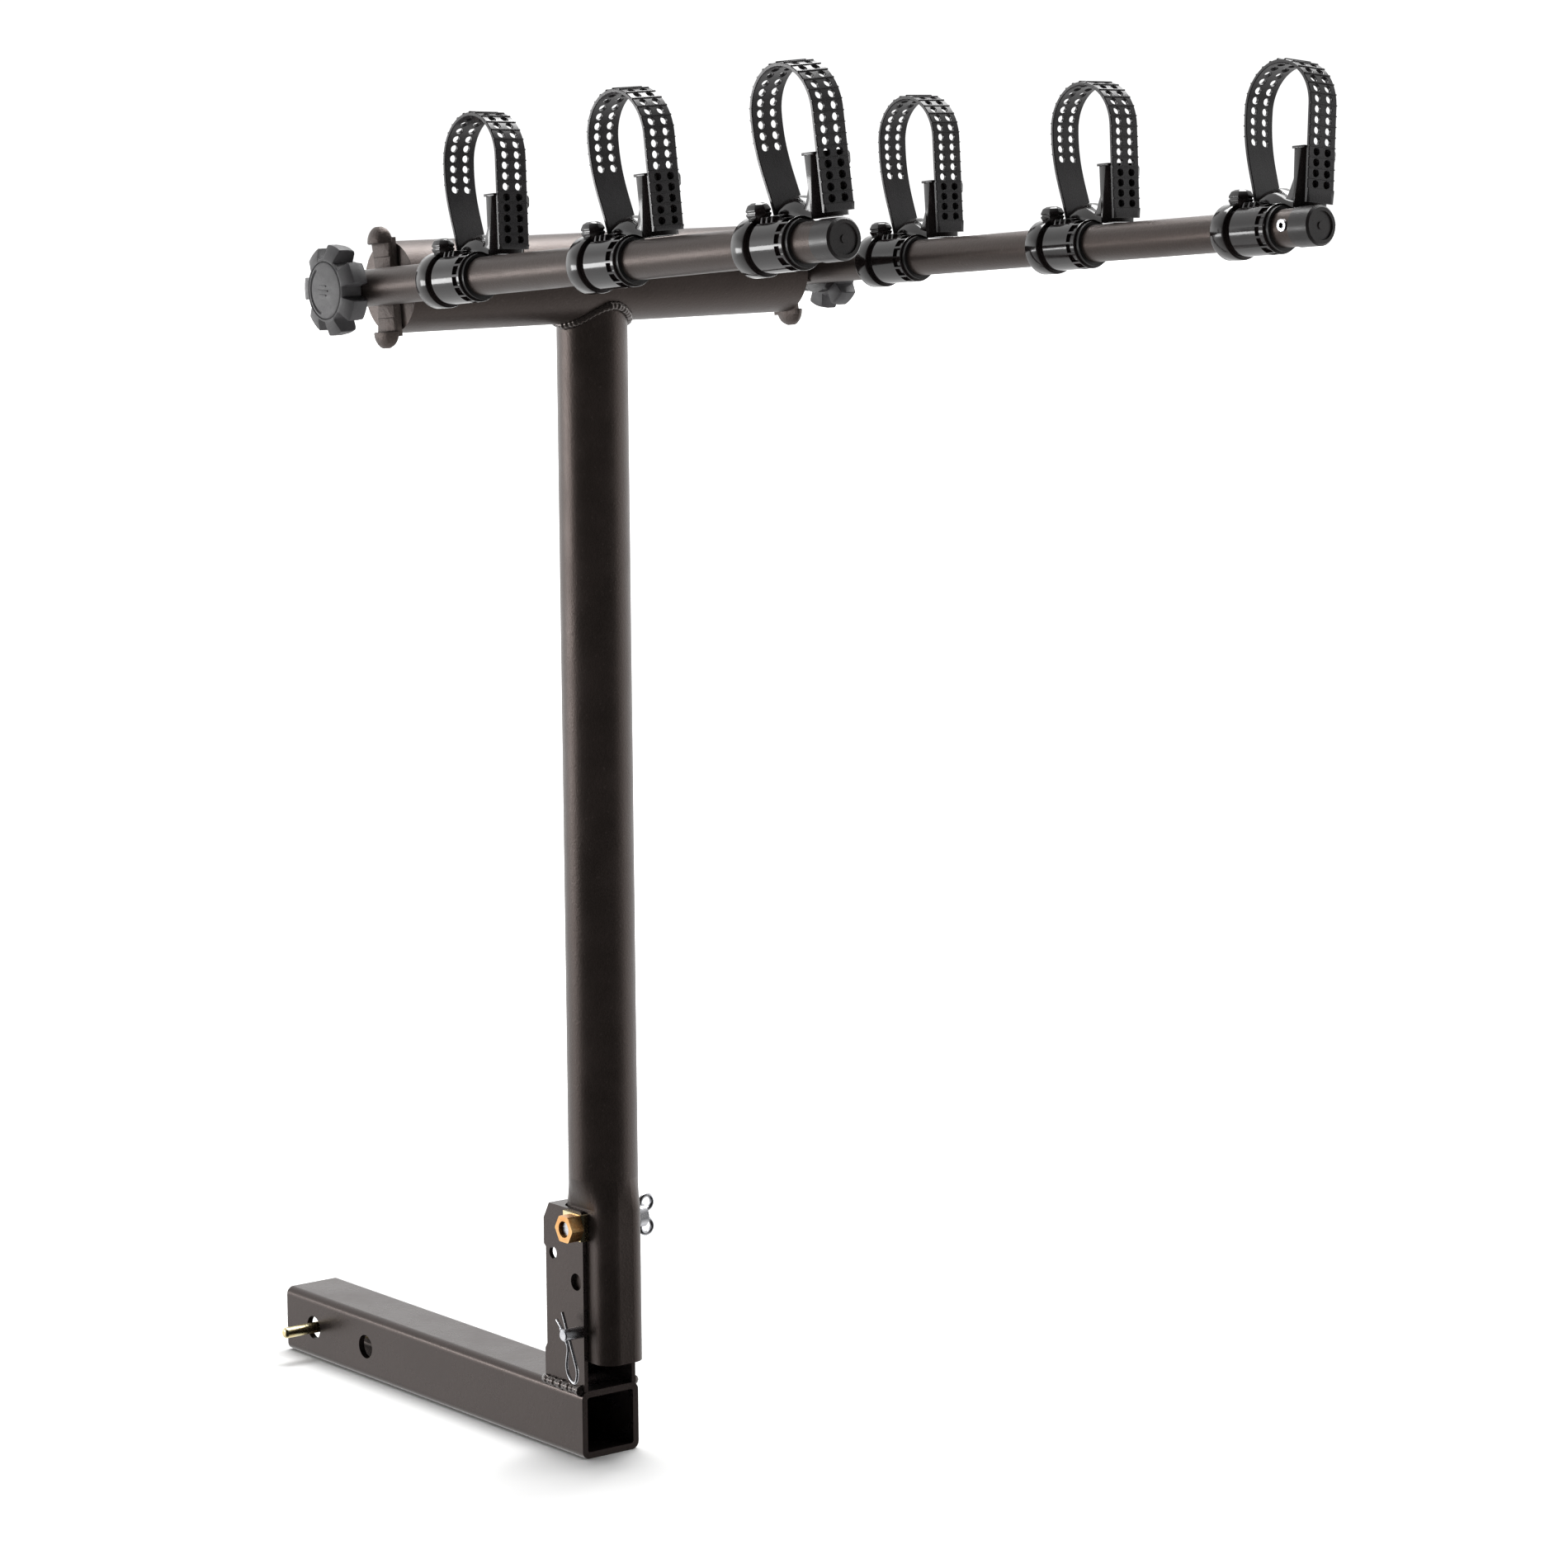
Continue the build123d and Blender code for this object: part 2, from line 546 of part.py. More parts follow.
def all_nodes():
    nodes = {
        "shank_tube": shank_tube(), "hitch_nut_strap": hitch_nut_strap(), "hitch_nut": hitch_nut(),
        "hitch_nut_peg": hitch_nut_peg(), "bracket_channel": bracket_channel(),
        "bracket_weld_bead": bracket_weld_bead(), "nut_keeper_clip": nut_keeper_clip(),
        "clamp_nut": clamp_nut(), "clamp_screw_washer": clamp_screw_washer(),
        "clamp_screw_shaft": clamp_screw_shaft(), "clamp_screw_wings": clamp_screw_wings(),
        "pivot_pin": pivot_pin(), "r_clip": r_clip(), "mast_tube": mast_tube(),
        "crossbar_tube": crossbar_tube(), "mast_weld_bead": mast_weld_bead(),
    }
    paired = {
        "crossbar_end_hub": crossbar_end_hub, "saddle_casting": saddle_casting, "arm_tube": arm_tube,
        "arm_root_plug": arm_root_plug, "arm_end_cap": arm_end_cap, "arm_stop_rivet": arm_stop_rivet,
        "knob_washer": knob_washer, "knob_grip": knob_grip, "knob_face": knob_face,
        "knob_stud": knob_stud,
    }
    cradle = {
        "cradle_sleeve": cradle_sleeve(), "cradle_body": cradle_body(), "strap_anchor": strap_anchor(),
    }
    for side, starts in CRADLE_STARTS.items():
        for name, build in paired.items():
            nodes[f"{name}_{side}"] = build(side)
        for number, (start, turn, slack) in enumerate(zip(starts, CRADLE_TURNS[side], STRAP_SLACK[side]), 1):
            place = cradle_frame(side, start, turn)
            nodes[f"cradle_strap_{side}_{number}"] = place * cradle_strap(slack)
            for name, shape in cradle.items():
                nodes[f"{name}_{side}_{number}"] = place * shape
    return nodes


os.makedirs("parts", exist_ok=True)
for node_name, node_shape in all_nodes().items():
    export_step(node_shape, f"parts/{node_name}.step")
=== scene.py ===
import json
from math import atan2, cos, hypot, pi, radians, sin, sqrt

import bmesh
import bpy
from mathutils import Matrix, Vector, noise


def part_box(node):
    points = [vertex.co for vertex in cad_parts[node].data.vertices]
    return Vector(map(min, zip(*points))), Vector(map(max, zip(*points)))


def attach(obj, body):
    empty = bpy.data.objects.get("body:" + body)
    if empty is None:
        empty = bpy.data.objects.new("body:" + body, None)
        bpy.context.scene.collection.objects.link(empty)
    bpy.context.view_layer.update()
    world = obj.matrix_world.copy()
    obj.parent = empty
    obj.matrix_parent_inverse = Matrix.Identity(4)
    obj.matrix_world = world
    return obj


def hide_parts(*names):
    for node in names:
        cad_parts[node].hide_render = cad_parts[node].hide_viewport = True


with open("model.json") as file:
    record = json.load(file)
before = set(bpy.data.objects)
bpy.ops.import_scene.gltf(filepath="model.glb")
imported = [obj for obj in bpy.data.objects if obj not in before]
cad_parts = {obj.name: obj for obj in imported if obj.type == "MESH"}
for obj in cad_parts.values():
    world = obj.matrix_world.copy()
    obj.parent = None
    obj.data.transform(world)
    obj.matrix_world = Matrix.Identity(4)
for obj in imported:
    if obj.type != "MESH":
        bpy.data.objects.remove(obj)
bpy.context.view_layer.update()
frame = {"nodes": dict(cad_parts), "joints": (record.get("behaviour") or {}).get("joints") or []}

NODES = frame["nodes"]
JOINTS = {joint["name"]: joint for joint in frame["joints"]}
SCENE = bpy.context.scene
MM = 0.001
SIDES = {"left": -1, "right": 1}
CRADLES = [f"{side}_{number}" for side in SIDES for number in (1, 2, 3)]


# ---- materials -----------------------------------------------------------------------------

class Shader:
    """A Principled material with helpers for its procedural nodes."""

    def __init__(self, name):
        self.mat = bpy.data.materials.new(name)
        self.mat.use_nodes = True
        self.tree = self.mat.node_tree
        self.bsdf = self.tree.nodes["Principled BSDF"]
        self.coords = self.tree.nodes.new("ShaderNodeTexCoord").outputs["Object"]

    def link(self, a, b):
        self.tree.links.new(a, b)

    def noise(self, scale, detail=3.0, stretch=(1, 1, 1), rough=0.55):
        mapping = self.tree.nodes.new("ShaderNodeMapping")
        mapping.inputs["Scale"].default_value = stretch
        node = self.tree.nodes.new("ShaderNodeTexNoise")
        node.inputs["Scale"].default_value = scale
        node.inputs["Detail"].default_value = detail
        node.inputs["Roughness"].default_value = rough
        self.link(self.coords, mapping.inputs["Vector"])
        self.link(mapping.outputs["Vector"], node.inputs["Vector"])
        return node.outputs["Fac"]

    def remap(self, value, low, high, to_low, to_high):
        node = self.tree.nodes.new("ShaderNodeMapRange")
        node.inputs["From Min"].default_value = low
        node.inputs["From Max"].default_value = high
        node.inputs["To Min"].default_value = to_low
        node.inputs["To Max"].default_value = to_high
        self.link(value, node.inputs["Value"])
        return node.outputs["Result"]

    def mix(self, factor, a, b):
        node = self.tree.nodes.new("ShaderNodeMix")
        node.data_type = "RGBA"
        for socket, value in ((node.inputs["A"], a), (node.inputs["B"], b)):
            if isinstance(value, tuple):
                socket.default_value = (*value, 1)
            else:
                self.link(value, socket)
        self.link(factor, node.inputs["Factor"])
        return node.outputs["Result"]

    def colour(self, value):
        self.link(value, self.bsdf.inputs["Base Color"])

    def rough(self, value, low, high):
        self.link(self.remap(value, 0.3, 0.7, low, high), self.bsdf.inputs["Roughness"])

    def bump(self, *layers):
        """Layers of (value, height in metres)."""
        normal = None
        for value, height in layers:
            node = self.tree.nodes.new("ShaderNodeBump")
            node.inputs["Strength"].default_value = 1.0
            node.inputs["Distance"].default_value = height
            self.link(value, node.inputs["Height"])
            if normal:
                self.link(normal, node.inputs["Normal"])
            normal = node.outputs["Normal"]
        self.link(normal, self.bsdf.inputs["Normal"])

    def set(self, **values):
        for name, value in values.items():
            self.bsdf.inputs[name.replace("_", " ")].default_value = value


def powder_coat(name, dark, light, rough, grain, height, coat=0.0):
    """Baked powder paint: a fine orange peel, faint mottling and a little dust."""
    s = Shader(name)
    mottle = s.noise(28, 4)
    dust = s.noise(420, 2)
    tone = s.mix(s.remap(mottle, 0.35, 0.65, 0, 1), dark, light)
    speck = tuple(min(1.0, channel * 2.2 + 0.006) for channel in light)
    s.colour(s.mix(s.remap(dust, 0.66, 0.74, 0, 0.5), tone, speck))
    s.rough(mottle, rough - 0.04, rough + 0.05)
    s.bump((s.noise(grain, 2), height), (s.noise(grain * 0.22, 2), height * 2.2))
    s.set(Metallic=0.0, Coat_Weight=coat, Coat_Roughness=0.12, Specular_IOR_Level=0.6)
    s.bsdf.inputs["Specular Tint"].default_value = (1.0, 0.78, 0.70, 1)
    return s.mat


def plated(name, tint, second, rough):
    """Zinc plate: fine drawn lines, cloudy tint and slight tarnish."""
    s = Shader(name)
    cloud = s.noise(160, 4)
    lines = s.noise(900, 3, (1, 0.12, 1))
    s.colour(s.mix(s.remap(cloud, 0.38, 0.66, 0, 1), tint, second))
    s.rough(lines, rough - 0.06, rough + 0.1)
    s.bump((lines, 0.00004), (s.noise(2400, 2), 0.00002))
    s.set(Metallic=1.0)
    return s.mat


def moulded(name, dark, light, rough, grain, height, coat=0.0):
    """Moulded plastic or rubber: skin texture, flow marks and handling marks."""
    s = Shader(name)
    flow = s.noise(55, 5, (1, 1, 0.45))
    skin = s.noise(grain, 2)
    marks = s.noise(240, 6, (3, 0.4, 1), 0.7)
    tone = s.mix(s.remap(flow, 0.35, 0.65, 0, 1), dark, light)
    scuff = tuple(channel * 1.9 + 0.006 for channel in light)
    s.colour(s.mix(s.remap(marks, 0.64, 0.78, 0, 0.55), tone, scuff))
    s.rough(marks, rough - 0.05, rough + 0.09)
    s.bump((skin, height), (flow, height * 3))
    s.set(Metallic=0.0, Coat_Weight=coat, Coat_Roughness=0.08)
    return s.mat


COAT = powder_coat(
    "brown_black_powder_coat", (0.011, 0.009, 0.008), (0.015, 0.012, 0.011), 0.36, 2600, 0.00006)
SHEET_COAT = powder_coat(
    "smooth_black_coat", (0.011, 0.009, 0.009), (0.015, 0.012, 0.012), 0.27, 1500, 0.00003)
WELD = powder_coat("coated_weld", (0.008, 0.007, 0.007), (0.012, 0.010, 0.009), 0.18, 900, 0.00008, 0.4)
CAST = powder_coat("cast_black", (0.030, 0.025, 0.023), (0.046, 0.040, 0.037), 0.46, 1100, 0.00022)
ZINC = plated("bright_zinc", (0.66, 0.66, 0.68), (0.52, 0.53, 0.56), 0.24)
YELLOW = plated("yellow_zinc", (0.80, 0.66, 0.36), (0.72, 0.68, 0.44), 0.22)
AMBER = plated("amber_zinc", (0.70, 0.34, 0.12), (0.74, 0.46, 0.20), 0.30)
CAP = moulded("black_cap_plastic", (0.008, 0.007, 0.007), (0.012, 0.010, 0.010), 0.30, 1900, 0.00005)
KNOB = moulded("grey_knob_plastic", (0.034, 0.033, 0.035), (0.050, 0.048, 0.050), 0.46, 1500, 0.00012)
GLOSS = moulded("glossy_black_plastic", (0.004, 0.003, 0.003), (0.007, 0.005, 0.005), 0.13, 700, 0.00002, 0.2)
RUBBER = moulded("black_rubber", (0.011, 0.010, 0.011), (0.017, 0.015, 0.016), 0.27, 1300, 0.00004)
SLEEVE = moulded("black_sleeve_rubber", (0.004, 0.004, 0.004), (0.008, 0.007, 0.007), 0.40, 1300, 0.00006)

CAD_LOOKS = {
    "shank_tube": SHEET_COAT, "bracket_channel": SHEET_COAT, "mast_tube": COAT, "crossbar_tube": COAT,
    "crossbar_end_hub": COAT, "arm_tube": COAT, "arm_root_plug": CAP, "arm_end_cap": CAP,
    "arm_stop_rivet": ZINC, "saddle_casting": CAST, "hitch_nut_strap": YELLOW, "hitch_nut": YELLOW,
    "hitch_nut_peg": YELLOW, "nut_keeper_clip": YELLOW, "clamp_nut": AMBER, "clamp_screw_washer": ZINC,
    "clamp_screw_shaft": ZINC, "clamp_screw_wings": ZINC, "pivot_pin": ZINC, "r_clip": ZINC,
    "knob_washer": CAP, "knob_stud": ZINC, "cradle_sleeve": SLEEVE,
}
for node_name, node in NODES.items():
    look = next((look for key, look in CAD_LOOKS.items() if node_name.startswith(key)), COAT)
    node.data.materials.clear()
    node.data.materials.append(look)


# ---- mesh helpers ----------------------------------------------------------------------------

def add_piece(name, bm, place, body, look, replaces=(), sharp=38):
    bmesh.ops.remove_doubles(bm, verts=bm.verts, dist=1e-4)
    bmesh.ops.recalc_face_normals(bm, faces=bm.faces)
    bm.transform(place)
    mesh = bpy.data.meshes.new(name)
    bm.to_mesh(mesh)
    bm.free()
    for polygon in mesh.polygons:
        polygon.use_smooth = True
    mesh.set_sharp_from_angle(angle=radians(sharp))
    piece = bpy.data.objects.new(name, mesh)
    SCENE.collection.objects.link(piece)
    mesh.materials.append(look)
    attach(piece, body)
    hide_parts(*replaces)
    return piece


def placement(origin, along, turn=0.0):
    """Local x is +X, y is up across the axis, z runs along it; local units are millimetres."""
    z = Vector(along).normalized()
    x = Vector((1, 0, 0))
    y = z.cross(x)
    matrix = Matrix((x, y, z)).transposed().to_4x4()
    return Matrix.Translation(Vector(origin)) @ matrix @ Matrix.Rotation(turn, 4, "Z") @ Matrix.Scale(MM, 4)


def grid_faces(bm, rows, close_rows=False, close_columns=True):
    """Joins rows of vertices into quads."""
    count = len(rows) if close_rows else len(rows) - 1
    for i in range(count):
        a, b = rows[i], rows[(i + 1) % len(rows)]
        columns = len(a) if close_columns else len(a) - 1
        for j in range(columns):
            k = (j + 1) % len(a)
            bm.faces.new((a[j], a[k], b[k], b[j]))


def prism(bm, outline, low, high, bevel=0.0, steps=2):
    """A beveled bar with a closed outline of (z, y) points, from low to high along x."""
    fresh = bmesh.new()
    base = [fresh.verts.new((low, y, z)) for z, y in outline]
    top = [fresh.verts.new((high, y, z)) for z, y in outline]
    fresh.faces.new(base)
    fresh.faces.new(list(reversed(top)))
    grid_faces(fresh, [base, top])
    bmesh.ops.recalc_face_normals(fresh, faces=fresh.faces)
    if bevel:
        edges = [e for e in fresh.edges if e.calc_face_angle(0) > radians(30)]
        bmesh.ops.bevel(fresh, geom=edges, offset=bevel, segments=steps, profile=0.5,
                        affect="EDGES", clamp_overlap=True)
    join(bm, fresh)


def hull(bm, points, bevel=0.0, steps=2):
    """A beveled convex block through points (x, y, z)."""
    fresh = bmesh.new()
    for point in points:
        fresh.verts.new(point)
    bmesh.ops.convex_hull(fresh, input=fresh.verts)
    bmesh.ops.delete(fresh, geom=[v for v in fresh.verts if not v.link_faces], context="VERTS")
    bmesh.ops.dissolve_limit(fresh, angle_limit=radians(1), verts=fresh.verts, edges=fresh.edges)
    bmesh.ops.recalc_face_normals(fresh, faces=fresh.faces)
    if bevel:
        bmesh.ops.bevel(fresh, geom=list(fresh.edges), offset=bevel, segments=steps, profile=0.5,
                        affect="EDGES", clamp_overlap=True)
    join(bm, fresh)


def join(bm, other, matrix=None):
    """Copies another bmesh into bm."""
    if matrix:
        other.transform(matrix)
    holder = bpy.data.meshes.new("joining")
    other.to_mesh(holder)
    other.free()
    bm.from_mesh(holder)
    bpy.data.meshes.remove(holder)


def bezier(points, count):
    """Points on a cubic curve with four control points."""
    a, b, c, d = (Vector(p) for p in points)
    out = []
    for i in range(count + 1):
        t = i / count
        s = 1 - t
        out.append(a * s**3 + b * (3 * s * s * t) + c * (3 * s * t * t) + d * t**3)
    return out


# ---- cradle straps ---------------------------------------------------------------------------

STRAP_T = 2.6
STRAP_HALF_W = 11.9
STRAP_MIDDLE = 16.0
LOOP_R = 30.4
LOOP_MIDDLE = 37.0
LOOP_TOP = 78.1
PITCH = 7.0
HOLE_R = 2.6
ROW_OFFSET = 5.0
FIRST_ROW = 48.0
RIB_HEIGHT = 0.7


def strap_route(slack):
    """The strap's centre line as (z, y): root, loop and the tail down the tower's rear."""
    left = LOOP_MIDDLE - LOOP_R
    top = LOOP_TOP + slack
    route = bezier(((19.7, 14), (17.2, 34), (left - 1.2, 50), (left, top)), 60)
    for i in range(1, 121):
        angle = pi - pi * i / 120
        route.append(Vector((LOOP_MIDDLE + LOOP_R * cos(angle), top + LOOP_R * sin(angle))))
    tail = round(top - 17)
    for i in range(1, tail + 1):
        route.append(Vector((LOOP_MIDDLE + LOOP_R, top - i)))
    return route


class Route:
    """Reads points and outward normals off a line by length."""

    def __init__(self, points):
        self.points = points
        self.lengths = [0.0]
        for a, b in zip(points, points[1:]):
            self.lengths.append(self.lengths[-1] + (b - a).length)
        self.total = self.lengths[-1]

    def at(self, s):
        s = max(0.0, min(self.total, s))
        i = 0
        low, high = 0, len(self.lengths) - 2
        while low <= high:
            i = (low + high) // 2
            if self.lengths[i + 1] < s:
                low = i + 1
            elif self.lengths[i] > s:
                high = i - 1
            else:
                break
        span = self.lengths[i + 1] - self.lengths[i]
        t = (s - self.lengths[i]) / span
        a, b = self.points[i], self.points[i + 1]
        before = self.points[max(0, i - 1)]
        after = self.points[min(len(self.points) - 1, i + 2)]
        tangent = ((b - before).lerp(after - a, t)).normalized()
        return a.lerp(b, t), Vector((-tangent.y, tangent.x))


def strap_mesh(slack):
    """A rubber band with two rows of holes and a thin rib between each pair of holes."""
    route = Route(strap_route(slack))
    half = PITCH / 2 - 0.5
    quarter = half / 2
    stations = [(s, False) for s in [i * 2.4 for i in range(int((FIRST_ROW - half) / 2.4))]]
    holes = []
    centre = FIRST_ROW
    while centre + half < route.total - 3:
        holes.append(len(stations))
        stations += [(centre + k * quarter, False) for k in (-2, -1, 0, 1, 2)]
        stations += [(centre + PITCH / 2 - 0.3, True), (centre + PITCH / 2 + 0.3, True)]
        centre += PITCH
    stations += [(route.total - 0.8, False), (route.total, False)]
    square = 3.9
    across = [-STRAP_HALF_W, -STRAP_HALF_W + 0.5]
    for middle in (-ROW_OFFSET, ROW_OFFSET):
        across += [middle + square * k / 2 for k in (-2, -1, 0, 1, 2)]
    across += [STRAP_HALF_W - 0.5, STRAP_HALF_W]
    blocked = {}
    for start in holes:
        for column in (2, 7):
            for i in range(4):
                for j in range(4):
                    blocked[start + i, column + j] = True

    bm = bmesh.new()

    def vertex(s, w, h):
        point, normal = route.at(s)
        place = point + normal * h
        return bm.verts.new((w + STRAP_MIDDLE, place.y, place.x))

    def layer(sign):
        rows = []
        for i, (s, rib) in enumerate(stations):
            row = []
            for j, w in enumerate(across):
                edge = j in (0, len(across) - 1) or i in (0, len(stations) - 1)
                height = STRAP_T / 2 - (0.45 if edge else 0)
                if rib and sign > 0:
                    height += RIB_HEIGHT
                row.append(vertex(s, w, sign * height))
            rows.append(row)
        for i in range(len(rows) - 1):
            for j in range(len(across) - 1):
                if (i, j) not in blocked:
                    bm.faces.new((rows[i][j], rows[i][j + 1], rows[i + 1][j + 1], rows[i + 1][j]))
        rings = []
        for start in holes:
            for column in (2, 7):
                middle_s = stations[start + 2][0]
                middle_w = across[column + 2]
                border = ([(0, k) for k in range(4)] + [(k, 4) for k in range(4)]
                          + [(4, 4 - k) for k in range(4)] + [(4 - k, 0) for k in range(4)])
                outer = [rows[start + a][column + b] for a, b in border]
                ring, lip = [], []
                for a, b in border:
                    angle = atan2(stations[start + a][0] - middle_s, across[column + b] - middle_w)
                    for store, r, h in ((lip, HOLE_R + 0.25, STRAP_T / 2),
                                        (ring, HOLE_R, STRAP_T / 2 - 0.25)):
                        place = (middle_s + r * sin(angle), middle_w + r * cos(angle))
                        store.append(vertex(*place, sign * h))
                grid_faces(bm, [outer, lip, ring])
                rings.append(ring)
        for row in rows:
            for vert in row:
                if not vert.link_faces:
                    bm.verts.remove(vert)
        return rows, rings

    top, top_rings = layer(1)
    bottom, bottom_rings = layer(-1)
    for a, b in zip(top_rings, bottom_rings):
        grid_faces(bm, [a, b])
    edge = ([row[0] for row in top] + top[-1][1:] + [row[-1] for row in reversed(top[:-1])]
            + list(reversed(top[0][1:-1])))
    under = ([row[0] for row in bottom] + bottom[-1][1:] + [row[-1] for row in reversed(bottom[:-1])]
             + list(reversed(bottom[0][1:-1])))
    grid_faces(bm, [edge, under])
    return bm


# ---- cradle bodies ---------------------------------------------------------------------------

WINDOWS = 14
WINDOW_SHARE = 0.80


DOME_BASE = 13.6  # just outside the arm tube's radius of 12.7
DOME_SECTIONS = (
    (11.2, 16.6, 7.0), (13, 20.4, 9.0), (17, 24.6, 10.6), (23, 27.8, 11.8), (30, 29.2, 12.4),
    (37, 28.6, 12.4), (43, 26.2, 12.4), (48, 23.4, 12.2), (53, 21.6, 12.0), (57.5, 21.4, 11.6))


def cradle_body_mesh():
    """Collar, groove and barrel with a ring of windows; then the bed and the buckle tower."""
    bm = bmesh.new()
    profile = [
        (14.6, 0.0), (17.3, 0.0), (18.3, 0.4), (18.9, 1.4), (18.9, 12.1), (18.6, 13.1), (17.8, 13.5),
        (16.0, 13.5), (15.6, 13.8), (15.6, 15.4), (16.2, 15.6), (16.4, 16.2), (15.9, 16.6), (15.9, 17.0),
        (16.5, 17.1), (16.8, 17.4), (16.8, 41.4), (16.8, 41.8), (16.8, 49.1), (16.8, 49.3),
        (16.6, 49.8), (16.2, 50.0), (14.6, 50.0)]
    per = 6
    segments = WINDOWS * per
    low = profile.index((16.8, 41.8))
    rows = []
    for radius, z in profile:
        ring = []
        for j in range(segments):
            cell, step = divmod(j, per)
            share = (0, 0.25, 0.5, 0.75, 1.0)[step] * WINDOW_SHARE if step < 5 else (1 + WINDOW_SHARE) / 2
            angle = 2 * pi * (cell + share) / WINDOWS
            ring.append(bm.verts.new((radius * cos(angle), radius * sin(angle), z)))
        rows.append(ring)
    grid_faces(bm, rows, close_rows=True)
    bmesh.ops.recalc_face_normals(bm, faces=bm.faces)
    lookup = {vert: (i, j) for i, row in enumerate(rows) for j, vert in enumerate(row)}
    for cell in range(WINDOWS):
        wanted = set()
        for face in bm.faces:
            spots = [lookup.get(v) for v in face.verts]
            if None in spots or {i for i, _ in spots} != {low, low + 1}:
                continue
            if {j // per for _, j in spots} == {cell} and max(j % per for _, j in spots) <= 4:
                wanted.add(face)
        result = bmesh.ops.extrude_face_region(bm, geom=list(wanted))
        for item in result["geom"]:
            if isinstance(item, bmesh.types.BMVert):
                length = hypot(item.co.x, item.co.y)
                item.co.x *= 15.0 / length
                item.co.y *= 15.0 / length
        bmesh.ops.delete(bm, geom=list(wanted), context="FACES_ONLY")

    dome = []
    for z, top, wide in DOME_SECTIONS:
        ring = []
        for k in range(17):
            angle = pi * k / 16
            across = cos(angle)
            lift = max(0.0, sin(angle)) ** 0.75
            height = DOME_BASE + (top - DOME_BASE) * lift
            ring.append(bm.verts.new((STRAP_MIDDLE - 0.4 - wide * across, height, z)))
        dome.append(ring)
    grid_faces(bm, dome)
    for ring in (dome[0], dome[-1]):
        bm.faces.new(ring)
    rear, side_in, side_out = 65.9, 3.6, 28.4
    hull(bm, [(side_in, 14, 55.8), (side_in, 14, 56.6), (7.4, 14, rear), (24, 14, rear), (side_out, 14, 62),
              (side_out, 14, 55.8), (side_in, 52.6, 55.2), (side_in, 52.6, 61.8), (6.0, 52.6, rear),
              (25.6, 52.6, rear), (side_out, 52.6, 63), (side_out, 52.6, 55.2)], 0.4)
    hull(bm, [(x, y, z) for x in (2.6, 29.0) for y in (52.4, 54.2) for z in (54.0, 66.0)], 0.35)
    gusset = [(44.0, 17.0), (49.5, 24.5), (53.2, 32.5), (55.0, 41.0), (57.6, 44.0), (57.6, 16.0)]
    prism(bm, gusset, 5.4, 9.2, bevel=0.6)
    prism(bm, gusset, 23.0, 26.8, bevel=0.6)
    lug_root = [(27.6, 41.0, 57.0), (27.6, 41.0, 65.4), (27.6, 53.2, 56.4), (27.6, 53.2, 66.0)]
    lug_tip = [(31.9, 45.8, 58.2), (31.9, 45.8, 64.8), (31.9, 51.6, 57.6), (31.9, 51.6, 65.4),
               (30.6, 53.2, 57.6), (30.6, 53.2, 65.2)]
    hull(bm, lug_root + lug_tip, 0.6)
    tooth = ((-8.6, 14.0, 1.1), (-7.4, 18.2, 0.8), (4.0, 18.6, 1.1), (4.0, 14.0, 1.1))
    for z in (21.0, 26.2, 31.4):
        hull(bm, [(x, y, end) for x, y, half in tooth for end in (z - half, z + half)], 0.3)
    return bm


def anchor_mesh():
    """A faceted thumb button on the strap's root: a cut-stone top, a groove and a bowl."""
    bm = bmesh.new()
    outline = [(-8.6, 7.0), (-8.9, 16.5), (-5.6, 22.6), (-0.6, 22.6),
               (2.6, 16.5), (2.4, 7.0), (-0.8, 3.0), (-5.4, 3.0)]
    middle = Vector((-3.1, 12.8))

    def level(height, share):
        return [(middle.x + (x - middle.x) * share, height, middle.y + (z - middle.y) * share)
                for x, z in outline]

    hull(bm, level(21.9, 0.98) + level(23.0, 1.0) + level(26.0, 0.80) + level(27.4, 0.45), 0.3)
    hull(bm, level(20.6, 0.90) + level(22.2, 0.90), 0.1)
    hull(bm, level(20.9, 1.0) + level(19.8, 1.0) + level(17.2, 0.78) + level(15.4, 0.5), 0.3)
    return bm


CRADLE_TURNS = {"left": (-2.5, 1.8, 3.3), "right": (-1.0, -2.0, -7.0)}
STRAP_SLACK = {"left": (0.0, 0.0, 0.8), "right": (6.0, 1.6, 2.9)}

body_data = cradle_body_mesh()
anchor_data = anchor_mesh()
for cradle in CRADLES:
    side, number = cradle.split("_")
    swivel = JOINTS[f"cradle_{cradle}_swivel"]
    turn = radians(CRADLE_TURNS[side][int(number) - 1])
    place = placement(swivel["pos_m"], swivel["axis"], turn)
    carrier = f"cradle_{cradle}"
    strap_data = strap_mesh(STRAP_SLACK[side][int(number) - 1])
    add_piece(f"ladder_strap_{cradle}", strap_data, place, carrier, RUBBER,
              [f"cradle_strap_{cradle}"], 30)
    add_piece(f"cradle_{cradle}_shell", body_data.copy(), place, carrier, GLOSS,
              [f"cradle_body_{cradle}"], 32)
    add_piece(f"strap_button_{cradle}", anchor_data.copy(), place, carrier, GLOSS,
              [f"strap_anchor_{cradle}"], 20)
body_data.free()
anchor_data.free()


# ---- knobs -----------------------------------------------------------------------------------

KNOB_LOBES = 7
KNOB_SINK = 4.2  # how far the grip's back reaches over its washer


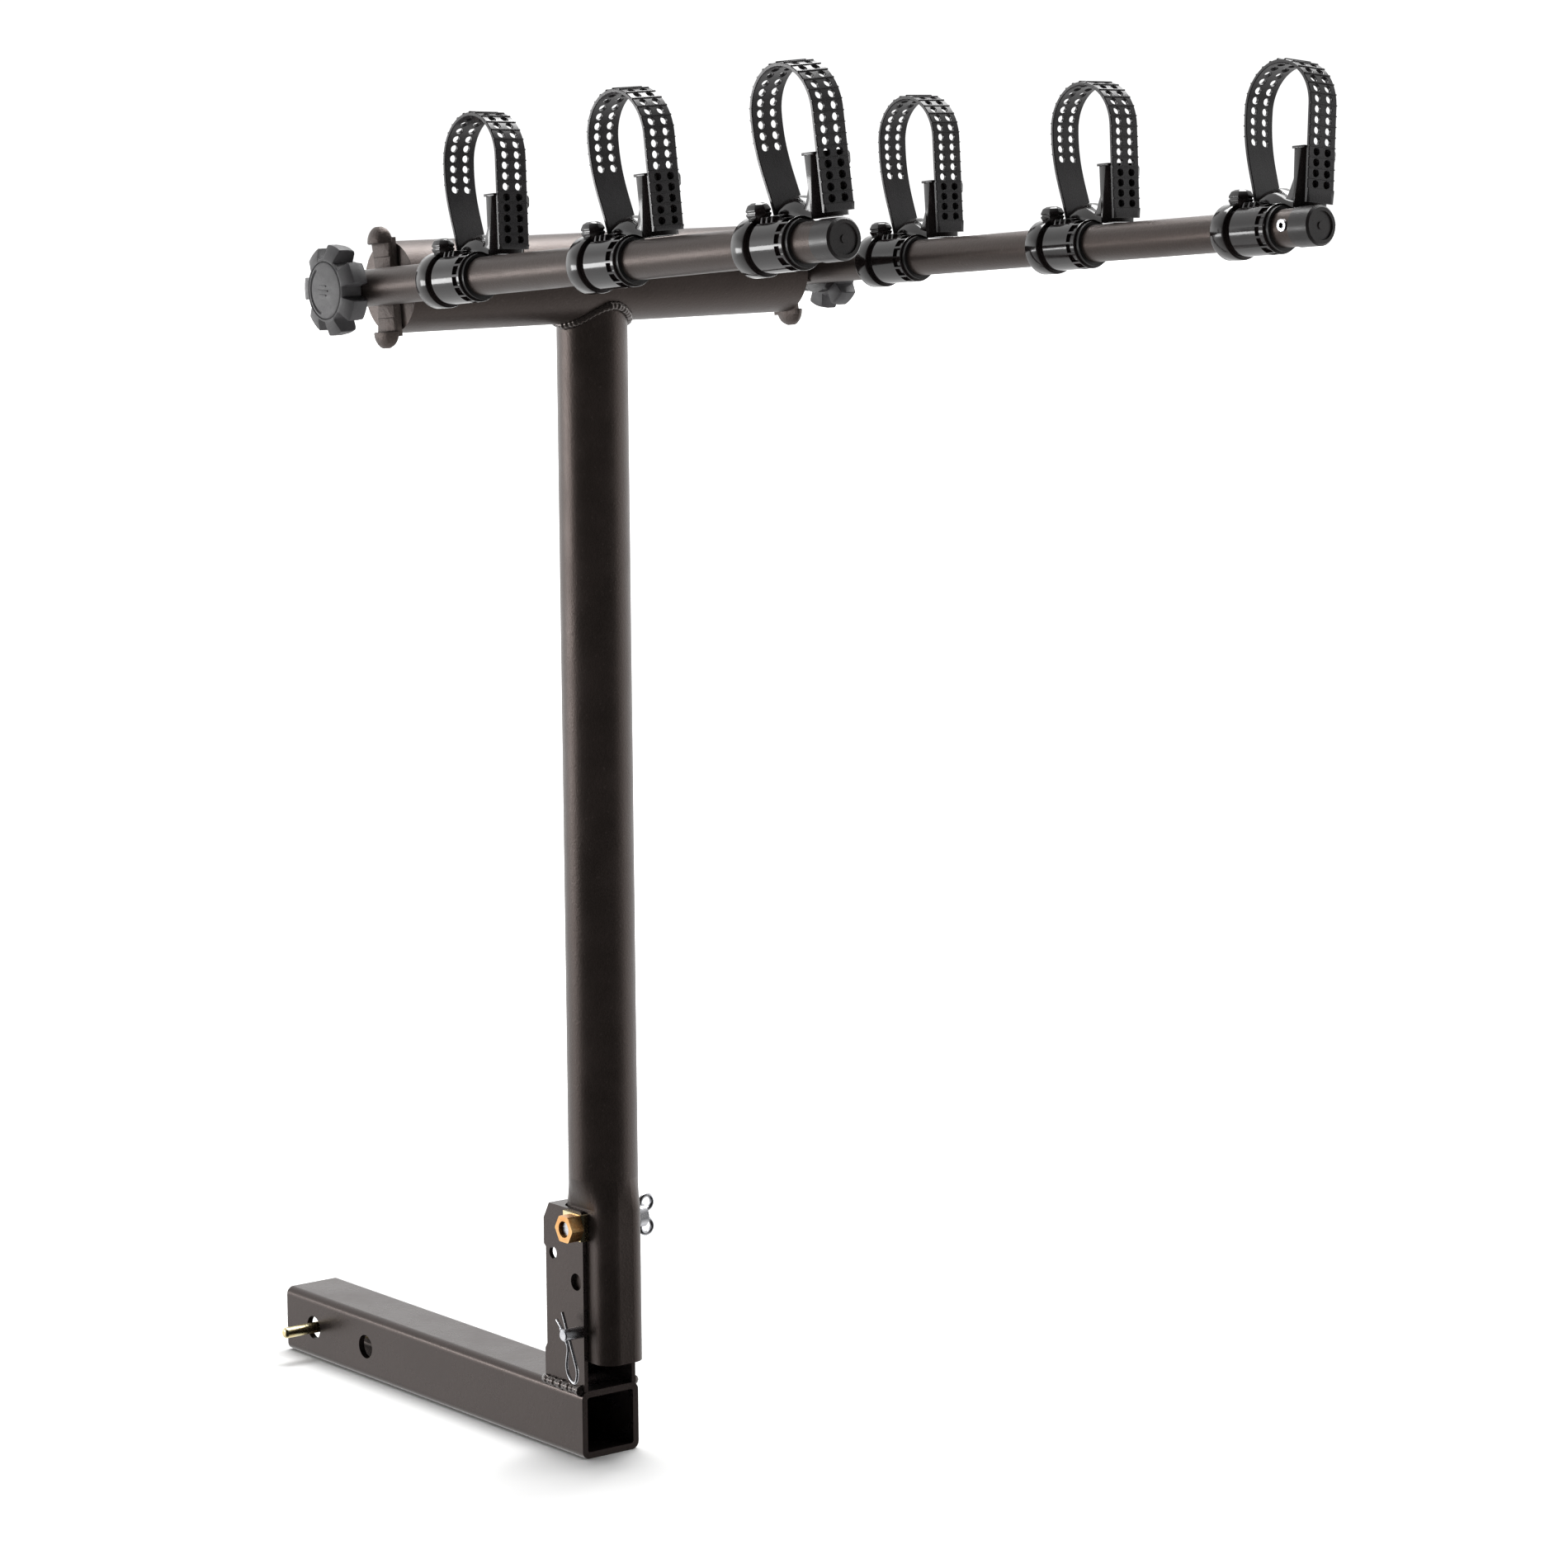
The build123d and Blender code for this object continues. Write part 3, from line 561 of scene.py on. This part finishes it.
def knob_mesh():
    """A grip with blocky lobes round a plain core; z runs outward from its back."""
    bm = bmesh.new()
    plateau, flank = 13.5, 17.0
    marks = (-25.7, -flank - 2, -flank, -flank + 0.8, -plateau - 0.9, -plateau, -7, 0, 7,
             plateau, plateau + 0.9, flank - 0.8, flank, flank + 2)
    angles = []
    for lobe in range(KNOB_LOBES):
        for mark in marks:
            share = 0.0
            if abs(mark) <= plateau:
                share = 1.0
            elif abs(mark) <= plateau + 0.95:
                share = 0.94
            elif abs(mark) < flank:
                share = 0.08
            angles.append((radians((lobe + 0.5) * 360 / KNOB_LOBES + mark), share))
    levels = [(0.0, 20.0, 28.4), (0.5, 21.0, 29.6), (1.4, 21.8, 30.2), (6.0, 22.0, 31.0), (12.4, 22.0, 31.0),
              (13.1, 22.0, 30.5), (15.4, 21.8, 24.6), (16.2, 21.4, 22.4), (16.6, 20.6, 20.9),
              (16.7, 20.1, 20.1), (16.5, 19.8, 19.8), (14.4, 19.7, 19.7), (14.4, 5.0, 5.0), (0.0, 5.0, 5.0)]
    rows = []
    for z, core, tip in levels:
        ring = []
        for angle, share in angles:
            radius = core + (tip - core) * share
            ring.append(bm.verts.new((radius * cos(angle), radius * sin(angle), z)))
        rows.append(ring)
    grid_faces(bm, rows, close_rows=True)
    return bm


def face_mesh():
    """A domed disc with a crescent groove near its rim and a plain three-bar mark."""
    bm = bmesh.new()
    segments = 96
    rim = 19.5
    radii = [rim, rim - 0.1, rim - 0.6, 18.2, 17.4, 16.2, 15.8, 15.4,
             14.8, 14.3, 13.9, 13.0, 11.0, 9.0, 7.0, 5.0, 3.0]
    rows = [[bm.verts.new((rim * cos(2 * pi * j / segments), rim * sin(2 * pi * j / segments), 14.4))
             for j in range(segments)]]
    for i, radius in enumerate(radii):
        ring = []
        for j in range(segments):
            angle = 2 * pi * j / segments
            height = 18.2 - 0.0040 * radius * radius
            height -= (0.8, 0.25)[i] if i < 2 else 0
            turn = (angle - radians(190) + pi) % (2 * pi) - pi
            inside = min(1.0, max(0.0, (radians(68) - abs(turn)) / radians(5)))
            if 15.0 < radius < 17.0:
                height -= 1.0 * inside
            ring.append(bm.verts.new((radius * cos(angle), radius * sin(angle), height)))
        rows.append(ring)
    grid_faces(bm, rows)
    bm.faces.new(rows[0])
    centre = bm.verts.new((0, 0, 18.2))
    last = rows[-1]
    for j in range(segments):
        bm.faces.new((last[j], last[(j + 1) % segments], centre))
    for y in (-3.2, 0.0, 3.2):
        half = 6.0 - abs(y) * 0.6
        hull(bm, [(x, y + dy, z) for x in (-half, half) for dy, z in
                  ((-0.7, 17.6), (0.7, 17.6), (0.5, 18.6), (-0.5, 18.6))], 0.15)
    return bm


knob_data = knob_mesh()
disc_data = face_mesh()
for side, sign in SIDES.items():
    turn = JOINTS[f"knob_turn_{side}"]
    low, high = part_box(f"knob_grip_{side}")
    start = (high.x if sign < 0 else low.x) - sign * KNOB_SINK * MM
    origin = Vector((start, turn["pos_m"][1], turn["pos_m"][2]))
    z = Vector((sign, 0, 0))
    x = Vector((0, sign, 0))
    y = z.cross(x)
    place = Matrix.Translation(origin) @ Matrix((x, y, z)).transposed().to_4x4() @ Matrix.Scale(MM, 4)
    add_piece(f"knob_{side}_grip", knob_data.copy(), place, f"knob_{side}", KNOB,
              [f"knob_grip_{side}"], 34)
    add_piece(f"knob_{side}_disc", disc_data.copy(), place, f"knob_{side}", KNOB,
              [f"knob_face_{side}"], 34)
knob_data.free()
disc_data.free()


# ---- saddle castings ----------------------------------------------------------------------------

def saddle_mesh(sign, reach):
    """A tapered plate with domed mounds at both ends and a block that cups the arm.

    Local x is +X, y is up, z runs along the arm; reach is from the arm's axis to the plate."""
    bm = bmesh.new()

    def out(x):
        return sign * (x - reach)

    for end in (-1, 1):
        hull(bm, [(out(o), end * y, z) for o, y, half in (
            (0, 6, 12.3), (4.2, 6, 8.5), (0, 31.5, 12.5), (4.6, 31.5, 11.6), (0, 34, 12.5), (4.6, 34, 11.8))
            for z in (-half, half)], 0.7)
        hull(bm, [(out(o), end * y, z) for o, y, half in (
            (3.6, 20.4, 10.4), (5.0, 21.0, 9.6), (4.9, 31.5, 10.9), (3.6, 31.5, 11.4))
            for z in (-half, half)], 0.4)
        mound = []
        for i in range(13):
            lift = i / 12
            spread = sqrt(max(0.0, 1 - (lift * 0.96) ** 2))
            for k in range(24):
                angle = 2 * pi * k / 24
                peak = 1 + 0.10 * cos(3 * angle)
                mound.append((out(5.6 + 6.2 * spread * cos(angle)), end * (30.8 + 11.0 * lift),
                              12.6 * spread * sin(angle) * (peak if lift < 0.9 else 1)))
        for k in range(24):
            angle = 2 * pi * k / 24
            mound.append((out(5.2 + 5.0 * cos(angle)), end * 30.2, 12.0 * sin(angle)))
        hull(bm, mound)
    cup = []
    for i in range(17):
        y = 11.0 - 22.0 * i / 16
        cup.append((reach - sqrt(12.75 ** 2 - y * y), y))
    corners = [(3.8, -11.0), (3.8, 11.0)] + cup
    fresh = bmesh.new()
    near = [fresh.verts.new((out(o), y, -11.6)) for o, y in corners]
    far = [fresh.verts.new((out(o), y, 11.6)) for o, y in corners]
    fresh.faces.new(near)
    fresh.faces.new(list(reversed(far)))
    grid_faces(fresh, [near, far])
    bmesh.ops.recalc_face_normals(fresh, faces=fresh.faces)
    join(bm, fresh)
    return bm


for side, sign in SIDES.items():
    fold = JOINTS[f"cradle_{side}_1_swivel"]
    root = JOINTS[f"arm_fold_{side}"]["pos_m"]
    low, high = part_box(f"saddle_casting_{side}")
    plate = high.x if sign < 0 else low.x
    reach = abs(root[0] - plate) / MM
    add_piece(f"saddle_{side}", saddle_mesh(sign, reach), placement(root, fold["axis"]), f"arm_{side}",
              CAST, [f"saddle_casting_{side}"], 35)


# ---- welds -----------------------------------------------------------------------------------

def bead(name, path, radius, pitch, body, node, closed):
    """A weld bead: a fat line of overlapping, slightly uneven ripples."""
    bm = bmesh.new()
    around = 12
    rows = []
    count = len(path)
    travelled = 0.0
    for i, point in enumerate(path):
        before = path[i - 1] if i or closed else point
        after = path[(i + 1) % count] if i < count - 1 or closed else point
        tangent = (after - before).normalized()
        side = tangent.cross(Vector((0, 0, 1)))
        if side.length < 1e-6:
            side = Vector((1, 0, 0))
        side.normalize()
        up = side.cross(tangent)
        if i:
            travelled += (point - path[i - 1]).length
        ripple = 0.16 * abs(sin(pi * travelled / pitch))
        lump = 0.30 * noise.noise(point * 0.16)
        size = radius * (0.88 + ripple + lump)
        if not closed and i in (0, count - 1):
            size *= 0.25
        elif not closed and i in (1, count - 2):
            size *= 0.75
        ring = []
        for k in range(around):
            angle = 2 * pi * k / around
            wobble = 1 + 0.10 * noise.noise(point * 0.3 + Vector((k, 0, 0)))
            ring.append(bm.verts.new(point + (side * cos(angle) + up * sin(angle)) * size * wobble))
        rows.append(ring)
    grid_faces(bm, rows, close_rows=closed)
    if not closed:
        bm.faces.new(rows[0])
        bm.faces.new(rows[-1])
    return add_piece(name, bm, Matrix.Scale(MM, 4), body, WELD, [node], 60)


def resample(corners, step):
    """Even points along straight runs between corners."""
    points = [corners[0]]
    for a, b in zip(corners, corners[1:]):
        count = max(1, round((b - a).length / step))
        points += [a.lerp(b, (i + 1) / count) for i in range(count)]
    return points


low, high = (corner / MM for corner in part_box("bracket_channel"))
top_of_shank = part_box("shank_tube")[1].z / MM
foot = top_of_shank + 0.4
foot_corners = [Vector(p) for p in (
    (low.x - 0.8, low.y + 1.5, foot), (low.x - 0.8, high.y - 1, foot), (low.x + 1.5, high.y + 0.8, foot),
    (high.x - 1.5, high.y + 0.8, foot), (high.x + 0.8, high.y - 1, foot), (high.x + 0.8, low.y + 1.5, foot))]
bead("bracket_foot_weld", resample(foot_corners, 0.65), 3.6, 4.6, "hitch_frame", "bracket_weld_bead", False)

mast_low, mast_high = (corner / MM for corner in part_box("mast_tube"))
bar_low, bar_high = (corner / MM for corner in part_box("crossbar_tube"))
mast_r = (mast_high.x - mast_low.x) / 2
bar_r = (bar_high.z - bar_low.z) / 2
bar_y, bar_z = (bar_low.y + bar_high.y) / 2, (bar_low.z + bar_high.z) / 2
neck = []
for i in range(260):
    angle = 2 * pi * i / 260
    y = (mast_r + 0.6) * sin(angle)
    neck.append(Vector(((mast_r + 0.6) * cos(angle), bar_y + y, bar_z - sqrt(bar_r * bar_r - y * y) - 0.5)))
bead("crossbar_weld", neck, 3.4, 3.4, "mast", "mast_weld_bead", True)


# ---- floor, light and camera -----------------------------------------------------------------

def pale_floor():
    """A pale floor that glows towards its edge, as a lit studio sweep does."""
    s = Shader("pale_floor")
    s.set(Roughness=0.85)
    distance = s.tree.nodes.new("ShaderNodeVectorMath")
    distance.operation = "LENGTH"
    s.link(s.coords, distance.inputs[0])
    s.colour(s.mix(s.noise(6, 2), (0.90, 0.90, 0.90), (0.93, 0.93, 0.92)))
    glow = s.remap(distance.outputs["Value"], 0.35, 1.5, 0.0, 1.2)
    s.bsdf.inputs["Emission Color"].default_value = (1, 1, 1, 1)
    s.link(glow, s.bsdf.inputs["Emission Strength"])
    bm = bmesh.new()
    half = 14.0
    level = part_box("shank_tube")[0].z
    corners = ((-half, -half), (half, -half), (half, half), (-half, half))
    bm.faces.new([bm.verts.new((x, y, level)) for x, y in corners])
    mesh = bpy.data.meshes.new("floor")
    bm.to_mesh(mesh)
    bm.free()
    floor = bpy.data.objects.new("floor", mesh)
    SCENE.collection.objects.link(floor)
    floor.visible_glossy = False
    mesh.materials.append(s.mat)


def soft_light(name, place, aim, size, height, power):
    data = bpy.data.lights.new(name, "AREA")
    data.shape = "RECTANGLE"
    data.size = size
    data.size_y = height
    data.energy = power
    lamp = bpy.data.objects.new(name, data)
    lamp.location = place
    lamp.rotation_euler = (Vector(aim) - Vector(place)).to_track_quat("-Z", "Y").to_euler()
    lamp.visible_camera = False
    SCENE.collection.objects.link(lamp)


BACKWARD = (0.585, 0.811, 0.0)  # level direction from the front of the scene to its back


def studio_world():
    """A white backdrop; as light it is bright behind and beside the object and dark in front."""
    world = bpy.data.worlds.new("studio")
    SCENE.world = world
    world.use_nodes = True
    tree = world.node_tree
    nodes, links = tree.nodes, tree.links

    def ramp(value, low, high, to_low, to_high):
        node = nodes.new("ShaderNodeMapRange")
        node.interpolation_type = "SMOOTHSTEP"
        for key, number in (("From Min", low), ("From Max", high), ("To Min", to_low), ("To Max", to_high)):
            node.inputs[key].default_value = number
        links.new(value, node.inputs["Value"])
        return node.outputs["Result"]

    def combine(operation, a, b):
        node = nodes.new("ShaderNodeMath")
        node.operation = operation
        links.new(a, node.inputs[0])
        links.new(b, node.inputs[1])
        return node.outputs["Value"]

    direction = nodes.new("ShaderNodeTexCoord").outputs["Generated"]
    parts = nodes.new("ShaderNodeSeparateXYZ")
    links.new(direction, parts.inputs["Vector"])
    facing = nodes.new("ShaderNodeVectorMath")
    facing.operation = "DOT_PRODUCT"
    facing.inputs[1].default_value = BACKWARD
    links.new(direction, facing.inputs[0])
    behind = ramp(facing.outputs["Value"], -0.50, 0.30, 0.02, 1.0)
    height = nodes.new("ShaderNodeMath")
    height.operation = "ABSOLUTE"
    links.new(parts.outputs["Z"], height.inputs[0])
    band = ramp(height.outputs["Value"], 0.05, 0.35, 0.8, 0.0)
    aside = ramp(facing.outputs["Value"], -0.45, 0.1, 0.0, 1.0)
    level = combine("ADD", behind, combine("MULTIPLY", band, aside))
    lit = nodes["Background"]
    lit.inputs["Color"].default_value = (1, 1, 1, 1)
    links.new(level, lit.inputs["Strength"])
    seen = nodes.new("ShaderNodeBackground")
    seen.inputs["Color"].default_value = (1, 1, 1, 1)
    seen.inputs["Strength"].default_value = 1.1
    path = nodes.new("ShaderNodeLightPath")
    choose = nodes.new("ShaderNodeMixShader")
    links.new(path.outputs["Is Camera Ray"], choose.inputs["Fac"])
    links.new(lit.outputs["Background"], choose.inputs[1])
    links.new(seen.outputs["Background"], choose.inputs[2])
    links.new(choose.outputs["Shader"], nodes["World Output"].inputs["Surface"])


pale_floor()
studio_world()
soft_light("top_softbox", (0.5, 0.4, 3.0), (0.0, -0.2, 0.0), 1.6, 1.6, 75)
soft_light("near_top_softbox", (0.8, -0.2, 1.85), (0.2, -0.5, 0.9), 0.8, 0.7, 10)
soft_light("left_softbox", (-2.2, 1.6, 0.45), (0.0, -0.3, 0.45), 1.5, 0.6, 22)

camera_data = bpy.data.cameras.new("camera")
camera_data.sensor_fit = "HORIZONTAL"
camera_data.sensor_width = 36.0
camera_data.lens = 116.65
camera = bpy.data.objects.new("camera", camera_data)
SCENE.collection.objects.link(camera)
eye = Vector((-2.1175, -3.2210, 1.0355))
target = Vector((0.16994, -0.283, 0.46367))
forward = (target - eye).normalized()
level_right = forward.cross(Vector((0, 0, 1))).normalized()
level_up = level_right.cross(forward)
roll = radians(-0.45)
right = level_right * cos(roll) + level_up * sin(roll)
up = level_up * cos(roll) - level_right * sin(roll)
camera.matrix_world = Matrix.Translation(eye) @ Matrix((right, up, -forward)).transposed().to_4x4()
SCENE.camera = camera
SCENE.view_settings.view_transform = "Standard"
